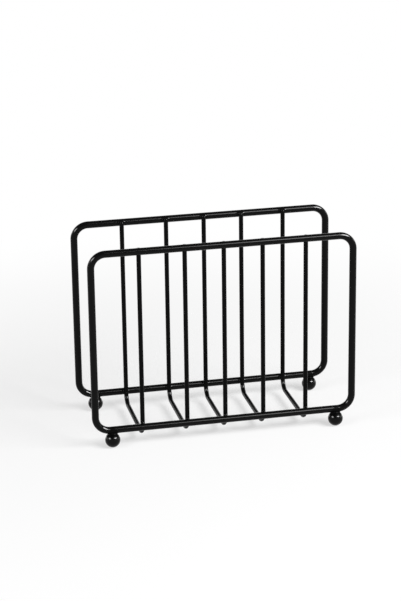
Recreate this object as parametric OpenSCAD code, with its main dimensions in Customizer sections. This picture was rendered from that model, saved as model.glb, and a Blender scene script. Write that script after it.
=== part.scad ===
// Wire napkin holder: two bent wire frames, five U wires welded between them, four ball feet.
// Millimetres. X runs along the width, Y from front to back and Z up.
// The origin is on the table, in the middle between the four feet.

/* [Frames] */
// Width of a frame, outside to outside
frame_w = 160; // [136:1:240]
// Height of a frame, outside to outside
frame_h = 112.6; // [60:0.1:200]
// Depth from the middle of the front frame to the middle of the back frame
frame_spacing = 60; // [30:1:120]
// Diameter of the frames' wire with its coating
frame_wire_d = 4.2; // [3:0.1:6]
// Bend radius of the frames' corners, at the middle of the wire
corner_bend_r = 8.5; // [5:0.5:20]

/* [U wires] */
// Diameter of the U wires with their coating
u_wire_d = 2.7; // [1.8:0.1:3.5]
// Spacing from the centre U wire to the one on each side of it
inner_pitch = 23.2; // [10:0.1:32]
// Spacing from there to the outermost U wire on the left
left_outer_pitch = 27; // [10:0.1:36]
// Spacing from there to the outermost U wire on the right
right_outer_pitch = 26; // [10:0.1:36]
// How far the centre U wire stands to the right of the frames' middle
centre_shift = 0.9; // [-3:0.1:3]
// Bend radius of the U wires, at the middle of the wire
u_bend_r = 7; // [4:0.5:9]
// How far the floor run of a U wire hangs below the bottom rails, middle to middle
floor_drop = 6; // [4:0.1:7.5]
// How far the ends of the U wires stop short of the frames' top edge
end_gap = 1; // [0:0.05:1.2]

/* [Feet] */
// Diameter of the ball feet
foot_d = 9; // [7:0.1:16]
// From the end of a frame's corner bend to the middle of a foot
foot_offset = 1.4; // [0:0.1:12]

/* [Welds] */
// How deep a U wire is pressed into a frame's wire where they are welded
wire_set_down = 0.25; // [0.1:0.05:0.5]
// How deep a foot is pressed into a frame's wire where they are welded
foot_set_down = 0.4; // [0.1:0.05:0.6]
// How far the weld nugget at a crossing stands out past the U wire on each side
wire_weld_reach = 0.3; // [0.1:0.05:0.5]
// Diameter of the weld nugget between a foot and its rail
foot_weld_d = 4.8; // [3.8:0.1:6]

/* [Hidden] */
$fn = 96;

frame_wire_r = frame_wire_d / 2;
u_wire_r = u_wire_d / 2;
foot_r = foot_d / 2;
wire_weld_d = u_wire_d + 2 * wire_weld_reach;

// The loop of a frame, along the middle of its wire
loop_w = frame_w - frame_wire_d;
loop_h = frame_h - frame_wire_d;
rail_run = loop_w - 2 * corner_bend_r;
side_run = loop_h - 2 * corner_bend_r;

// Heights of the two rails of a frame
bottom_rail_z = foot_d - foot_set_down + frame_wire_r;
top_rail_z = bottom_rail_z + loop_h;

// The path of a U wire, along the middle of its wire
u_wire_inset = frame_wire_r + u_wire_r - wire_set_down;
u_depth = frame_spacing - 2 * u_wire_inset;
floor_z = bottom_rail_z - floor_drop;
u_end_z = top_rail_z + frame_wire_r - end_gap;
u_upright = u_end_z - floor_z - u_bend_r;
u_floor_run = u_depth - 2 * u_bend_r;

// Where each U wire stands along the width
u_wire_xs = [
    centre_shift - inner_pitch - left_outer_pitch,
    centre_shift - inner_pitch,
    centre_shift,
    centre_shift + inner_pitch,
    centre_shift + inner_pitch + right_outer_pitch
];

// Where the feet stand and where they touch the rails
foot_x = rail_run / 2 - foot_offset;
foot_joint_z = bottom_rail_z - frame_wire_r;

FRONT = -1;
BACK = 1;
LEFT = -1;
RIGHT = 1;
coat = [0.06, 0.06, 0.065];

// The hollows for the nuggets are this much wider all round, so that no two solids overlap
nugget_clearance = 0.01;

// A straight length of wire that starts at the origin and runs up
module straight_wire(length, diameter) {
    cylinder(d = diameter, h = length);
}

// A quarter bend about the Z axis, from +X round to +Y
module quarter_bend(bend_r, diameter) {
    rotate_extrude(angle = 90) {
        translate([bend_r, 0]) circle(d = diameter);
    }
}

// One straight rail along X, at the height of a frame's top or bottom
module rail(height) {
    translate([-rail_run / 2, 0, height]) {
        rotate([0, 90, 0]) straight_wire(rail_run, frame_wire_d);
    }
}

// One side of a frame with its two corner bends, drawn for the right side
module frame_side() {
    translate([loop_w / 2, 0, -side_run / 2]) straight_wire(side_run, frame_wire_d);
    for (end = [0, 1]) {
        mirror([0, 0, end]) {
            translate([rail_run / 2, 0, side_run / 2]) {
                rotate([90, 0, 0]) quarter_bend(corner_bend_r, frame_wire_d);
            }
        }
    }
}

// A closed frame: two rails, two sides and four bends of one wire
module frame_blank() {
    rail(bottom_rail_z);
    rail(top_rail_z);
    translate([0, 0, (bottom_rail_z + top_rail_z) / 2]) {
        frame_side();
        mirror([1, 0, 0]) frame_side();
    }
}

// The nuggets that fuse all five U wires to one rail, or the hollows that they sit in.
// A nugget's poles point into the two wires.
module rail_nuggets(side, height, clearance = 0) {
    for (x = u_wire_xs) {
        translate([x, side * (frame_spacing / 2 - frame_wire_r), height]) {
            rotate([90, 0, 0]) sphere(d = wire_weld_d + 2 * clearance);
        }
    }
}

// The nugget that fuses a foot to the rail above it, or the hollow that it sits in
module foot_nugget(side, hand, clearance = 0) {
    translate([hand * foot_x, side * frame_spacing / 2, foot_joint_z]) {
        sphere(d = foot_weld_d + 2 * clearance);
    }
}

// A frame, hollowed where the weld nuggets sit in it
module frame(side) {
    color(coat) {
        difference() {
            translate([0, side * frame_spacing / 2, 0]) frame_blank();
            rail_nuggets(side, bottom_rail_z, nugget_clearance);
            rail_nuggets(side, top_rail_z, nugget_clearance);
            foot_nugget(side, LEFT, nugget_clearance);
            foot_nugget(side, RIGHT, nugget_clearance);
        }
    }
}

// The upright of a U wire and the bend at its foot, drawn for the back
module u_wire_side() {
    translate([0, u_depth / 2, floor_z + u_bend_r]) straight_wire(u_upright, u_wire_d);
    translate([0, u_floor_run / 2, floor_z + u_bend_r]) {
        rotate([90, 0, 90]) mirror([0, 1, 0]) quarter_bend(u_bend_r, u_wire_d);
    }
}

// A U wire, hollowed where the weld nuggets sit in its two uprights
module u_wire(index) {
    color(coat) {
        difference() {
            translate([u_wire_xs[index], 0, 0]) {
                u_wire_side();
                mirror([0, 1, 0]) u_wire_side();
                translate([0, -u_floor_run / 2, floor_z]) {
                    rotate([-90, 0, 0]) straight_wire(u_floor_run, u_wire_d);
                }
            }
            for (side = [FRONT, BACK]) {
                rail_nuggets(side, bottom_rail_z, nugget_clearance);
                rail_nuggets(side, top_rail_z, nugget_clearance);
            }
        }
    }
}

// A ball foot, hollowed where its weld nugget sits in the top
module foot(side, hand) {
    color(coat) {
        difference() {
            translate([hand * foot_x, side * frame_spacing / 2, foot_r]) sphere(d = foot_d);
            foot_nugget(side, hand, nugget_clearance);
        }
    }
}

// The welds along one rail
module rail_welds(side, height) {
    color(coat) rail_nuggets(side, height);
}

// The welds at the necks of all four feet
module welds_feet() {
    color(coat) {
        for (side = [FRONT, BACK]) {
            foot_nugget(side, LEFT);
            foot_nugget(side, RIGHT);
        }
    }
}

module front_frame() { frame(FRONT); }
module back_frame() { frame(BACK); }
module u_wire_left_outer() { u_wire(0); }
module u_wire_left_inner() { u_wire(1); }
module u_wire_centre() { u_wire(2); }
module u_wire_right_inner() { u_wire(3); }
module u_wire_right_outer() { u_wire(4); }
module foot_front_left() { foot(FRONT, LEFT); }
module foot_front_right() { foot(FRONT, RIGHT); }
module foot_back_left() { foot(BACK, LEFT); }
module foot_back_right() { foot(BACK, RIGHT); }
module welds_front_top_rail() { rail_welds(FRONT, top_rail_z); }
module welds_front_bottom_rail() { rail_welds(FRONT, bottom_rail_z); }
module welds_back_top_rail() { rail_welds(BACK, top_rail_z); }
module welds_back_bottom_rail() { rail_welds(BACK, bottom_rail_z); }

front_frame();
back_frame();
u_wire_left_outer();
u_wire_left_inner();
u_wire_centre();
u_wire_right_inner();
u_wire_right_outer();
foot_front_left();
foot_front_right();
foot_back_left();
foot_back_right();
welds_front_top_rail();
welds_front_bottom_rail();
welds_back_top_rail();
welds_back_bottom_rail();
welds_feet();
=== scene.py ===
import math

import bpy
import numpy as np
from mathutils import Matrix, Vector


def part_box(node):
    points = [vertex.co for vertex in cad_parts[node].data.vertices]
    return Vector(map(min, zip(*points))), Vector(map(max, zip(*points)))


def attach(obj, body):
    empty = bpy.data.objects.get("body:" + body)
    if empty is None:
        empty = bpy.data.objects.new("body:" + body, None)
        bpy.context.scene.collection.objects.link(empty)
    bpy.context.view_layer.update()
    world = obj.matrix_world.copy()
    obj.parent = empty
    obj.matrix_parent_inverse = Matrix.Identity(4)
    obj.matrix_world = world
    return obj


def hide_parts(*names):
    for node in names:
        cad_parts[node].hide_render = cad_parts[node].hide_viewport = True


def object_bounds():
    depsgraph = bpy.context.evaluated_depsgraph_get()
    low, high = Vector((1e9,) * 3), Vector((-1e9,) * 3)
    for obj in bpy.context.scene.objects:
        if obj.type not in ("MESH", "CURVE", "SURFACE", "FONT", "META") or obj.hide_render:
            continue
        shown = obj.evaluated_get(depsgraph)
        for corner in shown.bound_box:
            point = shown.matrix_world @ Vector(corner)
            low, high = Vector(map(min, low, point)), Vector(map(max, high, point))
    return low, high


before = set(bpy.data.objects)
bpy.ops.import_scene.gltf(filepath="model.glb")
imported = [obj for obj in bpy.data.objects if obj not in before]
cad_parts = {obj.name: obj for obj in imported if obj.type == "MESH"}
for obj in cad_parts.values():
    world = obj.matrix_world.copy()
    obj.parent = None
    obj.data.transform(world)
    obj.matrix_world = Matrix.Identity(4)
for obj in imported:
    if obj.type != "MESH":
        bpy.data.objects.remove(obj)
cad_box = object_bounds()

# A wire napkin holder with a smooth black coating. Metres: X runs along the width,
# Y from front to back and Z up, with the table at zero.
MM = 0.001

# The wires' bends, at the middle of the wire
CORNER_BEND_R = 8.5 * MM
U_BEND_R = 7 * MM
# How the cut end of a U wire is rounded under the coating
WIRE_END_ROUND = 0.45 * MM
# Fineness of the wires' meshes
FRAME_WIRE_SIDES = 48
U_WIRE_SIDES = 36
CORNER_STEPS = 28
U_BEND_STEPS = 24
END_STEPS = 5

# The neck that joins a ball foot to its rail
NECK_R = 1.7 * MM
NECK_FILLET_R = 0.7 * MM
NECK_RISE = 0.9 * MM
FOOT_SIDES = 64
FOOT_STEPS = 36

# Welds: how wide their fillets are and between which shares of that they vary, how far the
# welds stand proud, and how far they reach from their middles
CROSSING_FILLET = 1.25 * MM
CROSSING_FILLET_SHARES = (0.85, 1.15)
FOOT_FILLET = 1.3 * MM
FOOT_FILLET_SHARES = (0.9, 1.1)
WELD_PROUD = 0.05 * MM
CROSSING_WELD_REACH = 2.7 * MM
FOOT_WELD_REACH = 4.0 * MM
# How steeply a weld dives under its pieces past its reach, per metre
WELD_DIVE = 1500
# Height and wavelength of the lumps on the welds, and the seed that shapes them
WELD_LUMP = 0.05 * MM
WELD_LUMP_WAVE = 1.7 * MM
WELD_SEED = 11
# Meshing of the welds: the grid's step, the room left round a weld's reach, the step that a
# slope is measured over, how often a mesh is smoothed, and how it settles on the surface
WELD_GRID = 0.23 * MM
CROSSING_WELD_ROOM = 1.6 * MM
FOOT_WELD_ROOM = 1.9 * MM
SLOPE_STEP = 0.01 * MM
SMOOTHING_ROUNDS = 4
SETTLING_STEPS = 3
LEAST_SLOPE_SQUARED = 0.25

# The camera, solved from the photograph: place, degrees to the right of +Y, below the horizon
# and of roll, and the focal length on a 36 mm sensor
CAMERA_PLACE = (-0.2505, -1.1224, 0.4694)
CAMERA_YAW = 12.216
CAMERA_PITCH = 18.915
CAMERA_ROLL = -0.816
CAMERA_LENS = 121.88
CAMERA_SENSOR = 36

# The coating: its uneven black, its clouding and orange peel, how far its roughness varies,
# and its index of refraction
DEEP_BLACK = (0.0008, 0.0008, 0.0008, 1)
PALE_BLACK = (0.002, 0.002, 0.002, 1)
CLOUD_SCALE = 90
CLOUD_DETAIL = 4
CLOUD_MIDDLE = 0.5
PEEL_DETAIL = 1
ROUGHNESS_SPREAD = 0.08
COAT_IOR = 1.5
# The second gloss, on the faces that look up: its roughness, and how far up a face looks where
# that gloss begins and where it is full
TOP_GLOSS_ROUGHNESS = 0.12
TOP_GLOSS_FROM = 0.28
TOP_GLOSS_FULL = 0.42
# What the coating's shader group takes where a material gives no value of its own
PLAIN_ROUGHNESS = 0.25
PLAIN_PEEL_SCALE = 450.0
PLAIN_TOP_GLOSS = 1.0
# The coating on each kind of piece: roughness, gloss on the faces that look up, specular level,
# fineness and depth of the orange peel
FRAME_COAT = (0.22, 0.9, 0.1, 450, 0.004 * MM)
U_WIRE_COAT = (0.25, 0.55, 0.055, 450, 0.004 * MM)
FOOT_COAT = (0.14, 0.9, 0.11, 450, 0.002 * MM)
WELD_COAT = (0.25, 0.6, 0.07, 700, 0.003 * MM)
NECK_COAT = (0.35, 0, 0.05, 700, 0.003 * MM)

# The softboxes: degrees to the right of the front and above the horizon, distance, width,
# height and light level, where a level of 1 turns a white card that faces the softbox white
LEFT_SOFTBOX = (-66, 29, 1.8, 1.1, 0.6, 0.38)
FRONT_SOFTBOX = (26, 42, 1.8, 0.7, 0.6, 0.13)
RIGHT_SOFTBOX = (50, 37, 1.8, 1.3, 0.6, 1.15)
AMBIENT_LEVEL = 0.07

# The round floor and the low backdrop that it sweeps up into
FLOOR_R = 5
SWEEP_R = 0.8
SWEEP_STEPS = 12
BACKDROP_HEIGHT = 1.6
FLOOR_SIDES = 96
# The floor's colour, the share of plain white that the camera sees in it near the holder, and
# the distances between which that share rises to the whole
FLOOR_COLOUR = (0.93, 0.93, 0.93, 1)
FLOOR_NEAR_WHITE_SHARE = 0.6
FLOOR_NEAR = 0.12
FLOOR_FAR = 0.4


def linked_object(name, points, faces, material):
    """A smooth shaded mesh object in the scene, with one material."""
    mesh = bpy.data.meshes.new(name)
    mesh.from_pydata([tuple(p) for p in points], [], [tuple(f) for f in faces])
    mesh.validate()
    mesh.shade_smooth()
    mesh.materials.append(material)
    thing = bpy.data.objects.new(name, mesh)
    bpy.context.scene.collection.objects.link(thing)
    return thing


def finished_piece(thing, *nodes):
    """The object stands for its CAD nodes and rides on the holder."""
    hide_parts(*nodes)
    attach(thing, "root")


# Wires swept along their paths


def arc(centre, start, end, radius, steps):
    """Points and directions along an arc in a plane, from one angle to another in degrees."""
    angles = np.radians(np.linspace(start, end, steps + 1))
    turn = math.copysign(1, end - start)
    out = np.stack([np.cos(angles), np.sin(angles)], 1)
    along = np.stack([-np.sin(angles), np.cos(angles)], 1) * turn
    return np.asarray(centre) + radius * out, along


def rings_along(points, along, across, radii, sides):
    """Rings of vertices round a path. Across is the direction square to the plane of the path."""
    normal = np.cross(across, along)
    angles = np.linspace(0, 2 * math.pi, sides, endpoint=False)
    circle = np.cos(angles)[:, None, None] * normal + np.sin(angles)[:, None, None] * across
    rings = points + np.asarray(radii)[:, None] * circle
    return np.transpose(rings, (1, 0, 2)).reshape(-1, 3)


def ring_faces(rings, sides, closed):
    """Quads between rings of vertices, and back to the first ring in a closed loop."""
    faces = []
    for ring in range(rings if closed else rings - 1):
        near = ring * sides
        far = (ring + 1) % rings * sides
        for side in range(sides):
            after = (side + 1) % sides
            faces.append((near + side, near + after, far + after, far + side))
    return faces


def frame_wire(name, node, material):
    """One frame: a closed loop of wire with four bends, swept round a rounded rectangle."""
    low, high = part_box(node)
    wire_r = (high.y - low.y) / 2
    half_w = (high.x - low.x) / 2 - wire_r
    half_h = (high.z - low.z) / 2 - wire_r
    centre = (low + high) / 2
    points = []
    along = []
    corners = ((1, -1, -90), (1, 1, 0), (-1, 1, 90), (-1, -1, 180))
    for right, top, start in corners:
        bend = (right * (half_w - CORNER_BEND_R), top * (half_h - CORNER_BEND_R))
        bend_points, bend_along = arc(bend, start, start + 90, CORNER_BEND_R, CORNER_STEPS)
        points.append(bend_points)
        along.append(bend_along)
    flat = np.concatenate(points)
    flat_along = np.concatenate(along)
    path = np.stack([flat[:, 0] + centre.x, np.full(len(flat), centre.y), flat[:, 1] + centre.z], 1)
    path_along = np.stack([flat_along[:, 0], np.zeros(len(flat)), flat_along[:, 1]], 1)
    radii = np.full(len(path), wire_r)
    vertices = rings_along(path, path_along, np.array([0, -1.0, 0]), radii, FRAME_WIRE_SIDES)
    faces = ring_faces(len(path), FRAME_WIRE_SIDES, closed=True)
    finished_piece(linked_object(name, vertices, faces, material), node)


def rounded_end(tip, outward, wire_r):
    """Points, directions and radii of the last rings of a wire whose cut end is rounded."""
    angles = np.linspace(0, math.pi / 2, END_STEPS + 1)
    back = WIRE_END_ROUND * (1 - np.sin(angles))
    radii = wire_r - WIRE_END_ROUND * (1 - np.cos(angles))
    return [np.asarray(tip) - b * np.asarray(outward) for b in back], list(radii)


def u_wire(name, node, material):
    """One U wire: down inside the front frame, across under the rails and up inside the back frame."""
    low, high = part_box(node)
    wire_r = (high.x - low.x) / 2
    x = (low.x + high.x) / 2
    front_y = low.y + wire_r
    back_y = high.y - wire_r
    floor_z = low.z + wire_r
    bend_z = floor_z + U_BEND_R
    front_bend, front_along = arc((front_y + U_BEND_R, bend_z), 180, 270, U_BEND_R, U_BEND_STEPS)
    back_bend, back_along = arc((back_y - U_BEND_R, bend_z), 270, 360, U_BEND_R, U_BEND_STEPS)
    front_end, end_radii = rounded_end((front_y, high.z), (0, 1), wire_r)
    back_end, _ = rounded_end((back_y, high.z), (0, 1), wire_r)
    end_along = np.tile([0.0, 1.0], (END_STEPS + 1, 1))
    flat = np.concatenate([front_end[::-1], front_bend, back_bend, back_end])
    flat_along = np.concatenate([-end_along, front_along, back_along, end_along])
    radii = end_radii[::-1] + [wire_r] * (2 * (U_BEND_STEPS + 1)) + end_radii
    path = np.stack([np.full(len(flat), x), flat[:, 0], flat[:, 1]], 1)
    path_along = np.stack([np.zeros(len(flat)), flat_along[:, 0], flat_along[:, 1]], 1)
    vertices = rings_along(path, path_along, np.array([1.0, 0, 0]), radii, U_WIRE_SIDES)
    faces = ring_faces(len(path), U_WIRE_SIDES, closed=False)
    tips = [(x, front_y, high.z), (x, back_y, high.z)]
    vertices = np.concatenate([vertices, tips])
    first_tip = len(path) * U_WIRE_SIDES
    last_ring = (len(path) - 1) * U_WIRE_SIDES
    for side in range(U_WIRE_SIDES):
        after = (side + 1) % U_WIRE_SIDES
        faces.append((after, side, first_tip))
        faces.append((last_ring + side, last_ring + after, first_tip + 1))
    finished_piece(linked_object(name, vertices, faces, material), node)


# Ball feet


def foot_profile(foot_r):
    """Radius and height up the side of a ball foot: the ball, a fillet and the neck above it."""
    fillet_centre_r = NECK_R + NECK_FILLET_R
    reach = foot_r + NECK_FILLET_R
    rise = math.sqrt(reach ** 2 - fillet_centre_r ** 2)
    ball_top = math.degrees(math.atan2(rise, fillet_centre_r))
    ball, _ = arc((0, foot_r), -90, ball_top, foot_r, FOOT_STEPS)
    fillet_centre = (fillet_centre_r, foot_r + rise)
    fillet, _ = arc(fillet_centre, 180 + ball_top, 180, NECK_FILLET_R, END_STEPS)
    neck_top = (NECK_R, 2 * foot_r + NECK_RISE)
    return np.concatenate([ball[1:], fillet[1:], [neck_top]])


def ball_foot(name, node, material):
    """One ball foot, turned round its own upright axis."""
    low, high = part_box(node)
    foot_r = (high.x - low.x) / 2
    profile = foot_profile(foot_r)
    angles = np.linspace(0, 2 * math.pi, FOOT_SIDES, endpoint=False)
    centre_x = (low.x + high.x) / 2
    centre_y = (low.y + high.y) / 2
    vertices = []
    for radius, height in profile:
        for angle in angles:
            x = centre_x + radius * math.cos(angle)
            y = centre_y + radius * math.sin(angle)
            vertices.append((x, y, height))
    faces = ring_faces(len(profile), FOOT_SIDES, closed=False)
    bottom = len(vertices)
    vertices += [(centre_x, centre_y, low.z), (centre_x, centre_y, profile[-1][1])]
    last_ring = (len(profile) - 1) * FOOT_SIDES
    for side in range(FOOT_SIDES):
        after = (side + 1) % FOOT_SIDES
        faces.append((after, side, bottom))
        faces.append((last_ring + side, last_ring + after, bottom + 1))
    finished_piece(linked_object(name, vertices, faces, material), node)


# Welds: smooth fillets, meshed from the distances to the pieces that they join


def frame_distance(node):
    """The distance from points to the surface of a frame's wire, below zero inside it."""
    low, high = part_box(node)
    wire_r = (high.y - low.y) / 2
    centre = np.array((low + high) / 2)
    half = np.array([(high.x - low.x) / 2 - wire_r, (high.z - low.z) / 2 - wire_r])

    def distance(points):
        flat = np.abs((points - centre)[..., [0, 2]]) - half + CORNER_BEND_R
        outside = np.linalg.norm(np.maximum(flat, 0), axis=-1)
        to_loop = outside + np.minimum(flat.max(axis=-1), 0) - CORNER_BEND_R
        return np.hypot(to_loop, points[..., 1] - centre[1]) - wire_r
    return distance


def u_wire_distance(node):
    """The distance from points to the surface of a U wire, below zero inside it."""
    low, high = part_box(node)
    wire_r = (high.x - low.x) / 2
    x = (low.x + high.x) / 2
    bend_z = low.z + wire_r + U_BEND_R
    bend_y = high.y - wire_r - U_BEND_R

    def distance(points):
        across = np.abs(points[..., 1]) - bend_y
        below = bend_z - points[..., 2]
        to_path = np.hypot(np.maximum(across, 0), np.maximum(below, 0)) - U_BEND_R
        to_path = np.where((across <= 0) & (below <= 0), U_BEND_R, to_path)
        round_wire = np.hypot(to_path, points[..., 0] - x) - wire_r
        past_end = points[..., 2] - high.z
        edge = np.stack([round_wire + WIRE_END_ROUND, past_end + WIRE_END_ROUND], -1)
        rounded = np.linalg.norm(np.maximum(edge, 0), axis=-1)
        return rounded + np.minimum(edge.max(axis=-1), 0) - WIRE_END_ROUND
    return distance


def ball_distance(node):
    """The distance from points to the surface of a ball foot, below zero inside it."""
    low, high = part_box(node)
    foot_r = (high.x - low.x) / 2
    centre = np.array([(low.x + high.x) / 2, (low.y + high.y) / 2, low.z + foot_r])
    return lambda points: np.linalg.norm(points - centre, axis=-1) - foot_r


def blended(one, other, fillet):
    """The nearer of two distances, with the hollow between the two pieces filled by a fillet."""
    overlap = np.maximum(fillet - np.abs(one - other), 0)
    return np.minimum(one, other) - overlap ** 2 / (4 * fillet)


def lumps(points, phases):
    """A slow uneven swell over a weld, between about -1 and 1."""
    turns = points * (2 * math.pi / WELD_LUMP_WAVE)
    waves = np.sin(turns[..., 0] + phases[0]) * np.sin(turns[..., 1] + phases[1])
    return waves + np.sin(turns[..., 2] + phases[2]) * np.sin(turns[..., 0] + phases[3])


def weld_field(one, other, place, fillet, reach, phases):
    """A function that is below zero inside a weld. Past its reach it dives under both pieces."""
    def field(points):
        away = np.linalg.norm(points - place, axis=-1)
        fade = np.clip(1 - away / reach, 0, 1)
        swell = WELD_PROUD * (1 - (away / reach) ** 2) + WELD_LUMP * fade * lumps(points, phases)
        dive = WELD_DIVE * np.maximum(away - reach, 0) ** 2
        return blended(one(points), other(points), fillet) - swell + dive
    return field


def slope(field, points):
    """The gradient of a field at points."""
    parts = []
    for axis in np.eye(3) * SLOPE_STEP:
        parts.append((field(points + axis) - field(points - axis)) / (2 * SLOPE_STEP))
    return np.stack(parts, -1)


def skin(field, place, reach):
    """Points and quads of the surface on which a field is zero, in a cube round a place."""
    ticks = np.arange(-reach, reach + WELD_GRID, WELD_GRID)
    grid = np.stack(np.meshgrid(ticks, ticks, ticks, indexing="ij"), -1) + place
    inside = field(grid) < 0
    size = len(ticks) - 1
    filled = np.zeros((size, size, size), int)
    for i in (0, 1):
        for j in (0, 1):
            for k in (0, 1):
                filled += inside[i:size + i, j:size + j, k:size + k]
    mixed = (filled > 0) & (filled < 8)
    number = np.full(mixed.shape, -1)
    number[mixed] = np.arange(mixed.sum())
    points = grid[:-1, :-1, :-1][mixed] + WELD_GRID / 2
    faces = []
    for axis in range(3):
        one, two = [a for a in range(3) if a != axis]
        turned = np.moveaxis(inside, (axis, one, two), (0, 1, 2))
        cells = np.moveaxis(number, (axis, one, two), (0, 1, 2))
        crossed = turned[:-1, 1:-1, 1:-1] != turned[1:, 1:-1, 1:-1]
        a, b, c = np.nonzero(crossed)
        corners = (cells[a, b, c], cells[a, b + 1, c], cells[a, b + 1, c + 1], cells[a, b, c + 1])
        quads = np.stack(corners, 1)
        outward = turned[:-1, 1:-1, 1:-1][crossed] ^ (axis == 1)
        quads[~outward] = quads[~outward][:, ::-1]
        faces.append(quads)
    faces = np.concatenate(faces)
    for _ in range(SMOOTHING_ROUNDS):
        points = settled(field, relaxed(points, faces))
    return points, faces


def relaxed(points, faces):
    """Each point moved to the middle of the corners of the faces round it."""
    total = np.zeros_like(points)
    count = np.zeros(len(points))
    middles = points[faces].mean(axis=1)
    for corner in range(4):
        np.add.at(total, faces[:, corner], middles)
        np.add.at(count, faces[:, corner], 1)
    return total / count[:, None]


def settled(field, points):
    """Points moved along the gradient on to the surface on which a field is zero."""
    for _ in range(SETTLING_STEPS):
        gradient = slope(field, points)
        squared = np.maximum((gradient ** 2).sum(axis=-1), LEAST_SLOPE_SQUARED)
        miss = np.clip(field(points), -WELD_GRID, WELD_GRID)
        points = points - miss[:, None] * gradient / squared[:, None]
    return points


def joined_skins(name, skins, material, node):
    """One object for all the welds of a node."""
    points = []
    faces = []
    for skin_points, skin_faces in skins:
        faces.append(skin_faces + sum(len(p) for p in points))
        points.append(skin_points)
    thing = linked_object(name, np.concatenate(points), np.concatenate(faces), material)
    finished_piece(thing, node)


def crossing_welds(name, node, frame_node, u_nodes, top, draws, material):
    """The five welds along one rail, between a frame and the U wires."""
    low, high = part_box(frame_node)
    wire_r = (high.y - low.y) / 2
    rail_y = (low.y + high.y) / 2
    inner_y = rail_y - math.copysign(wire_r, rail_y)
    rail_z = high.z - wire_r if top else low.z + wire_r
    to_frame = frame_distance(frame_node)
    skins = []
    for u_node in u_nodes:
        u_low, u_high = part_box(u_node)
        place = np.array([(u_low.x + u_high.x) / 2, inner_y, rail_z])
        fillet = CROSSING_FILLET * draws.uniform(*CROSSING_FILLET_SHARES)
        phases = draws.uniform(0, 2 * math.pi, 4)
        to_wire = u_wire_distance(u_node)
        field = weld_field(to_frame, to_wire, place, fillet, CROSSING_WELD_REACH, phases)
        skins.append(skin(field, place, CROSSING_WELD_REACH + CROSSING_WELD_ROOM))
    joined_skins(name, skins, material, node)


def foot_welds(name, node, feet, draws, material):
    """The four welds between the ball feet and the rails above them."""
    skins = []
    for foot_node, frame_node in feet:
        low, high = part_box(foot_node)
        rail_low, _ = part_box(frame_node)
        place = np.array([(low.x + high.x) / 2, (low.y + high.y) / 2, rail_low.z])
        fillet = FOOT_FILLET * draws.uniform(*FOOT_FILLET_SHARES)
        phases = draws.uniform(0, 2 * math.pi, 4)
        to_frame = frame_distance(frame_node)
        field = weld_field(to_frame, ball_distance(foot_node), place, fillet, FOOT_WELD_REACH, phases)
        skins.append(skin(field, place, FOOT_WELD_REACH + FOOT_WELD_ROOM))
    joined_skins(name, skins, material, node)


# Finishes


def coat_film_group():
    """Shader group for the coating: faint clouding, uneven gloss and orange peel, and a
    second, stronger gloss on the faces that look up."""
    group = bpy.data.node_groups.new("coat_film", "ShaderNodeTree")
    face = group.interface
    for name, kind, value in (
            ("Deep colour", "NodeSocketColor", DEEP_BLACK),
            ("Pale colour", "NodeSocketColor", PALE_BLACK),
            ("Roughness", "NodeSocketFloat", PLAIN_ROUGHNESS),
            ("Roughness spread", "NodeSocketFloat", ROUGHNESS_SPREAD),
            ("Peel scale", "NodeSocketFloat", PLAIN_PEEL_SCALE),
            ("Top gloss", "NodeSocketFloat", PLAIN_TOP_GLOSS),
            ("Top gloss from", "NodeSocketFloat", TOP_GLOSS_FROM),
            ("Top gloss full", "NodeSocketFloat", TOP_GLOSS_FULL)):
        socket = face.new_socket(name=name, in_out="INPUT", socket_type=kind)
        socket.default_value = value
    for name, kind in (("Colour", "NodeSocketColor"), ("Roughness", "NodeSocketFloat"),
                       ("Height", "NodeSocketFloat"), ("Coat weight", "NodeSocketFloat")):
        face.new_socket(name=name, in_out="OUTPUT", socket_type=kind)
    nodes = group.nodes
    links = group.links
    given = nodes.new("NodeGroupInput")
    made = nodes.new("NodeGroupOutput")
    place = nodes.new("ShaderNodeTexCoord")
    clouds = nodes.new("ShaderNodeTexNoise")
    clouds.inputs["Scale"].default_value = CLOUD_SCALE
    clouds.inputs["Detail"].default_value = CLOUD_DETAIL
    peel = nodes.new("ShaderNodeTexNoise")
    peel.inputs["Detail"].default_value = PEEL_DETAIL
    for texture in (clouds, peel):
        links.new(place.outputs["Object"], texture.inputs["Vector"])
    links.new(given.outputs["Peel scale"], peel.inputs["Scale"])
    tint = nodes.new("ShaderNodeMix")
    tint.data_type = "RGBA"
    links.new(clouds.outputs["Fac"], tint.inputs["Factor"])
    links.new(given.outputs["Deep colour"], tint.inputs["A"])
    links.new(given.outputs["Pale colour"], tint.inputs["B"])
    links.new(tint.outputs["Result"], made.inputs["Colour"])
    centred = nodes.new("ShaderNodeMath")
    centred.operation = "SUBTRACT"
    centred.inputs[1].default_value = CLOUD_MIDDLE
    links.new(clouds.outputs["Fac"], centred.inputs[0])
    gloss = nodes.new("ShaderNodeMath")
    gloss.operation = "MULTIPLY_ADD"
    links.new(centred.outputs[0], gloss.inputs[0])
    links.new(given.outputs["Roughness spread"], gloss.inputs[1])
    links.new(given.outputs["Roughness"], gloss.inputs[2])
    links.new(gloss.outputs[0], made.inputs["Roughness"])
    links.new(peel.outputs["Fac"], made.inputs["Height"])
    facing = nodes.new("ShaderNodeSeparateXYZ")
    links.new(place.outputs["Normal"], facing.inputs["Vector"])
    upward = nodes.new("ShaderNodeMapRange")
    upward.interpolation_type = "SMOOTHSTEP"
    links.new(facing.outputs["Z"], upward.inputs["Value"])
    links.new(given.outputs["Top gloss from"], upward.inputs["From Min"])
    links.new(given.outputs["Top gloss full"], upward.inputs["From Max"])
    links.new(given.outputs["Top gloss"], upward.inputs["To Max"])
    links.new(upward.outputs["Result"], made.inputs["Coat weight"])
    return group


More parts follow.
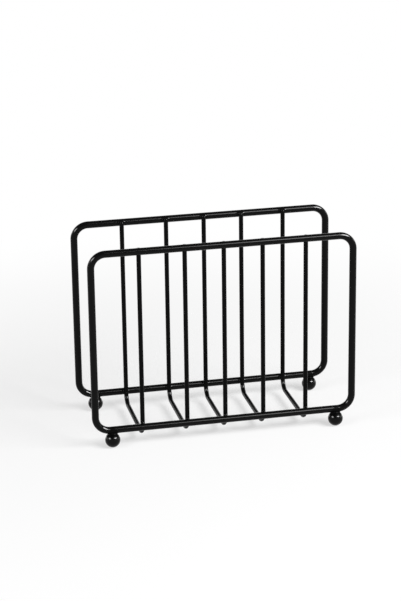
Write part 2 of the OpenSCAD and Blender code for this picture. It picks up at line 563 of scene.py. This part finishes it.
def coated_steel(name, film, roughness, top_gloss, specular, peel_scale, peel_depth):
    """Black coated steel, with the values for one kind of piece."""
    material = bpy.data.materials.new(name)
    material.use_nodes = True
    nodes = material.node_tree.nodes
    links = material.node_tree.links
    shader = nodes["Principled BSDF"]
    shader.inputs["IOR"].default_value = COAT_IOR
    shader.inputs["Specular IOR Level"].default_value = specular
    shader.inputs["Coat IOR"].default_value = COAT_IOR
    shader.inputs["Coat Roughness"].default_value = TOP_GLOSS_ROUGHNESS
    coat = nodes.new("ShaderNodeGroup")
    coat.node_tree = film
    coat.inputs["Roughness"].default_value = roughness
    coat.inputs["Top gloss"].default_value = top_gloss
    coat.inputs["Peel scale"].default_value = peel_scale
    bump = nodes.new("ShaderNodeBump")
    bump.inputs["Strength"].default_value = 1
    bump.inputs["Distance"].default_value = peel_depth
    links.new(coat.outputs["Colour"], shader.inputs["Base Color"])
    links.new(coat.outputs["Roughness"], shader.inputs["Roughness"])
    links.new(coat.outputs["Coat weight"], shader.inputs["Coat Weight"])
    links.new(coat.outputs["Height"], bump.inputs["Height"])
    links.new(bump.outputs["Normal"], shader.inputs["Normal"])
    return material


def floor_material():
    """A pale matt floor. What the camera and reflections see of it goes over to white further out."""
    material = bpy.data.materials.new("pale_floor")
    material.use_nodes = True
    nodes = material.node_tree.nodes
    links = material.node_tree.links
    nodes.remove(nodes["Principled BSDF"])
    matt = nodes.new("ShaderNodeBsdfDiffuse")
    matt.inputs["Color"].default_value = FLOOR_COLOUR
    white = nodes.new("ShaderNodeEmission")
    white.inputs["Color"].default_value = (1, 1, 1, 1)
    white.inputs["Strength"].default_value = 1
    place = nodes.new("ShaderNodeTexCoord")
    away = nodes.new("ShaderNodeVectorMath")
    away.operation = "LENGTH"
    links.new(place.outputs["Object"], away.inputs[0])
    share = nodes.new("ShaderNodeMapRange")
    share.interpolation_type = "SMOOTHSTEP"
    share.inputs["From Min"].default_value = FLOOR_NEAR
    share.inputs["From Max"].default_value = FLOOR_FAR
    share.inputs["To Min"].default_value = FLOOR_NEAR_WHITE_SHARE
    share.inputs["To Max"].default_value = 1
    links.new(away.outputs["Value"], share.inputs["Value"])
    ray = nodes.new("ShaderNodeLightPath")
    seen = ray.outputs["Is Camera Ray"]
    for kind in ("Is Glossy Ray", "Is Transmission Ray"):
        either = nodes.new("ShaderNodeMath")
        either.operation = "MAXIMUM"
        links.new(seen, either.inputs[0])
        links.new(ray.outputs[kind], either.inputs[1])
        seen = either.outputs[0]
    factor = nodes.new("ShaderNodeMath")
    factor.operation = "MULTIPLY"
    links.new(seen, factor.inputs[0])
    links.new(share.outputs["Result"], factor.inputs[1])
    mix = nodes.new("ShaderNodeMixShader")
    links.new(factor.outputs[0], mix.inputs["Fac"])
    links.new(matt.outputs["BSDF"], mix.inputs[1])
    links.new(white.outputs["Emission"], mix.inputs[2])
    links.new(mix.outputs["Shader"], nodes["Material Output"].inputs["Surface"])
    return material


# Stage, light and camera


def floor_and_backdrop():
    """The pale floor, which sweeps up all round into a low backdrop."""
    sweep, _ = arc((FLOOR_R, SWEEP_R), -90, 0, SWEEP_R, SWEEP_STEPS)
    profile = np.concatenate([sweep, [(FLOOR_R + SWEEP_R, BACKDROP_HEIGHT)]])
    angles = np.linspace(0, 2 * math.pi, FLOOR_SIDES, endpoint=False)
    corners = [(0, 0, 0)]
    for radius, height in profile:
        corners += [(radius * math.cos(a), radius * math.sin(a), height) for a in angles]
    faces = [(0, 1 + side, 1 + (side + 1) % FLOOR_SIDES) for side in range(FLOOR_SIDES)]
    for quad in ring_faces(len(profile), FLOOR_SIDES, closed=False):
        faces.append([corner + 1 for corner in quad])
    thing = linked_object("floor_and_backdrop", corners, faces, floor_material())


def softbox(name, to_right, above, distance, width, height, level):
    """An oval area lamp that faces the middle of the holder."""
    lamp = bpy.data.lights.new(name, "AREA")
    lamp.shape = "ELLIPSE"
    lamp.size = width
    lamp.size_y = height
    lamp.energy = level * (math.pi * distance) ** 2
    thing = bpy.data.objects.new(name, lamp)
    bpy.context.scene.collection.objects.link(thing)
    turn = math.radians(to_right)
    rise = math.radians(above)
    away = Vector((math.sin(turn) * math.cos(rise), -math.cos(turn) * math.cos(rise), math.sin(rise)))
    middle = (cad_box[0] + cad_box[1]) / 2
    thing.location = middle + away * distance
    thing.rotation_mode = "QUATERNION"
    thing.rotation_quaternion = away.to_track_quat("Z", "Y")


def ambient_light():
    """A little even light from the room above the backdrop."""
    world = bpy.data.worlds.new("room")
    bpy.context.scene.world = world
    world.use_nodes = True
    background = world.node_tree.nodes["Background"]
    background.inputs["Color"].default_value = (1, 1, 1, 1)
    background.inputs["Strength"].default_value = AMBIENT_LEVEL


def camera():
    """The camera at the photograph's viewing angle."""
    yaw, pitch, roll = (math.radians(a) for a in (CAMERA_YAW, CAMERA_PITCH, CAMERA_ROLL))
    reach = math.cos(pitch)
    forward = Vector((math.sin(yaw) * reach, math.cos(yaw) * reach, -math.sin(pitch)))
    level_right = Vector((math.cos(yaw), -math.sin(yaw), 0))
    level_up = level_right.cross(forward)
    right = math.cos(roll) * level_right + math.sin(roll) * level_up
    up = math.cos(roll) * level_up - math.sin(roll) * level_right
    lens = bpy.data.cameras.new("photo_camera")
    lens.sensor_fit = "AUTO"
    lens.sensor_width = CAMERA_SENSOR
    lens.lens = CAMERA_LENS
    thing = bpy.data.objects.new("photo_camera", lens)
    bpy.context.scene.collection.objects.link(thing)
    turn = Matrix((right, up, -forward)).transposed()
    thing.matrix_world = Matrix.Translation(CAMERA_PLACE) @ turn.to_4x4()
    bpy.context.scene.camera = thing


def build_holder():
    """Every piece of the holder, in place of its CAD node."""
    film = coat_film_group()
    frame_coat = coated_steel("coat_on_frames", film, *FRAME_COAT)
    u_wire_coat = coated_steel("coat_on_u_wires", film, *U_WIRE_COAT)
    foot_coat = coated_steel("coat_on_feet", film, *FOOT_COAT)
    weld_coat = coated_steel("coat_on_welds", film, *WELD_COAT)
    neck_coat = coated_steel("coat_on_necks", film, *NECK_COAT)
    u_nodes = ["u_wire_left_outer", "u_wire_left_inner", "u_wire_centre", "u_wire_right_inner",
               "u_wire_right_outer"]
    draws = np.random.default_rng(WELD_SEED)
    for u_node in u_nodes:
        u_wire(u_node + "_bent", u_node, u_wire_coat)
    feet = []
    for side in ("front", "back"):
        frame_node = side + "_frame"
        frame_wire(frame_node + "_loop", frame_node, frame_coat)
        for rail in ("top", "bottom"):
            node = f"welds_{side}_{rail}_rail"
            crossing_welds(node + "_beads", node, frame_node, u_nodes, rail == "top", draws, weld_coat)
        for hand in ("left", "right"):
            foot_node = f"foot_{side}_{hand}"
            ball_foot(foot_node + "_ball", foot_node, foot_coat)
            feet.append((foot_node, frame_node))
    foot_welds("welds_feet_necks", "welds_feet", feet, draws, neck_coat)


def plain_view():
    """Colours as they are written, with no film look."""
    bpy.context.scene.view_settings.view_transform = "Standard"


build_holder()
floor_and_backdrop()
softbox("left_softbox", *LEFT_SOFTBOX)
softbox("front_softbox", *FRONT_SOFTBOX)
softbox("right_softbox", *RIGHT_SOFTBOX)
ambient_light()
camera()
plain_view()
